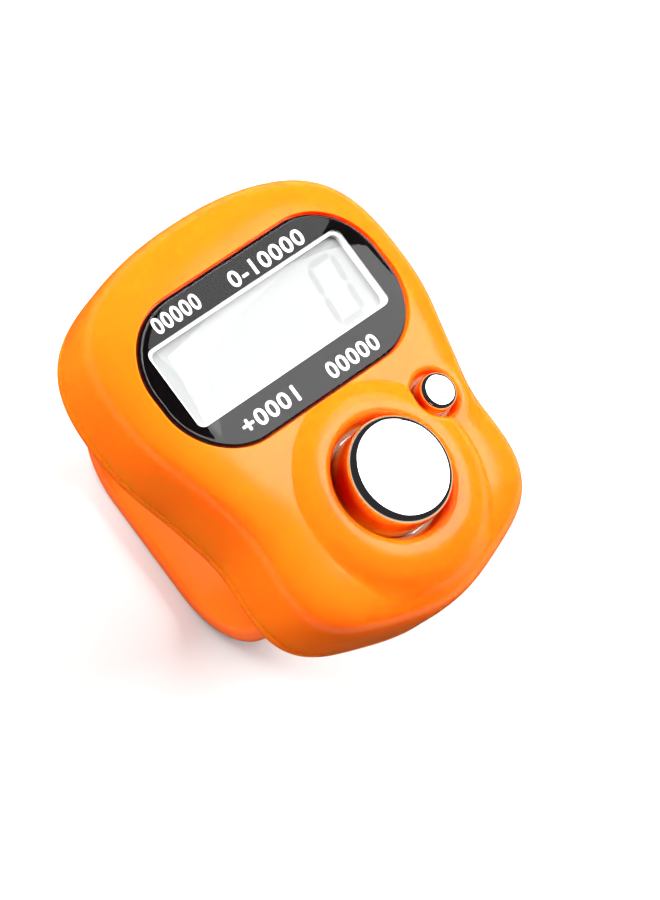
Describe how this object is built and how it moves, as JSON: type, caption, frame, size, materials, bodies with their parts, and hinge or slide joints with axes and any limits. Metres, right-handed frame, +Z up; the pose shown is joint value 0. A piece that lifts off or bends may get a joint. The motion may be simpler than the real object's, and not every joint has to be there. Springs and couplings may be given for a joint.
{
  "type": "digital tally counter",
  "caption": "Counter worn on a finger: pear-shaped case with a display window, a large sprung count key, a small reset key, a coin-cell door and a pegged strap.",
  "frame": {"origin": "centre of the bounding box's base, on the strap's flat underside, below the middle of the case", "axes": "+Z up out of the display face, +Y towards the display end, +X along the display's long side, to the reset key's side"},
  "size_m": [0.0326, 0.0398, 0.033],
  "materials": {
    "moulded_orange": "glossy",
    "soft_orange": "satin",
    "clear_acrylic": "polished",
    "black_print": "satin",
    "white_plastic": "satin",
    "display_glass": "polished",
    "silver_film": "satin",
    "chromed_plastic": "mirror",
    "board_green": "satin",
    "black_epoxy": "glossy",
    "tan_ceramic": "matt",
    "grey_rubber": "matt",
    "striped_rubber": "matt",
    "plated_steel": "bright"
  },
  "bodies": {
    "case": {"top_shell": "moulded_orange", "base_shell": "moulded_orange", "display_lens": "clear_acrylic", "mask_film": "black_print", "display_frame": "white_plastic", "front_polariser": "display_glass", "front_glass": "display_glass", "rear_glass": "display_glass", "reflector": "silver_film", "zebra_connector": "striped_rubber", "circuit_board": "board_green", "chip_blob": "black_epoxy", "capacitor": "tan_ceramic", "resistor": "tan_ceramic", "count_spring": "grey_rubber", "reset_spring": "grey_rubber", "coin_cell": "plated_steel", "negative_contact": "plated_steel", "positive_contact": "plated_steel", "strap_long": "soft_orange", "case_screw_1": "plated_steel", "case_screw_2": "plated_steel", "case_screw_3": "plated_steel", "case_screw_4": "plated_steel", "board_screw_1": "plated_steel", "board_screw_2": "plated_steel", "board_screw_3": "plated_steel"},
    "count_key": {"count_key": "chromed_plastic"},
    "reset_key": {"reset_key": "chromed_plastic"},
    "clasp": {"strap_clasp": "soft_orange"},
    "door": {"battery_door": "moulded_orange"}
  },
  "joints": [
    {"name": "count_press", "type": "slide", "parent": "case", "child": "count_key", "axis": [0, 0, -1], "range_m": [0, 0.0008], "stiffness_N_per_m": 1600, "springref_m": -0.0002, "deforming": ["count_spring"]},
    {"name": "reset_press", "type": "slide", "parent": "case", "child": "reset_key", "axis": [0, 0, -1], "range_m": [0, 0.0005], "stiffness_N_per_m": 1600, "springref_m": -0.0002, "deforming": ["reset_spring"]},
    {"name": "clasp_swing", "type": "hinge", "parent": "case", "child": "clasp", "pos_m": [0, -0.01355, 0.01997], "axis": [-1, 0, 0], "range_deg": [0, 45]},
    {"name": "door_turn", "type": "hinge", "parent": "case", "child": "door", "pos_m": [0, 0, 0.0195], "axis": [0, 0, -1], "range_deg": [0, 60]}
  ]
}
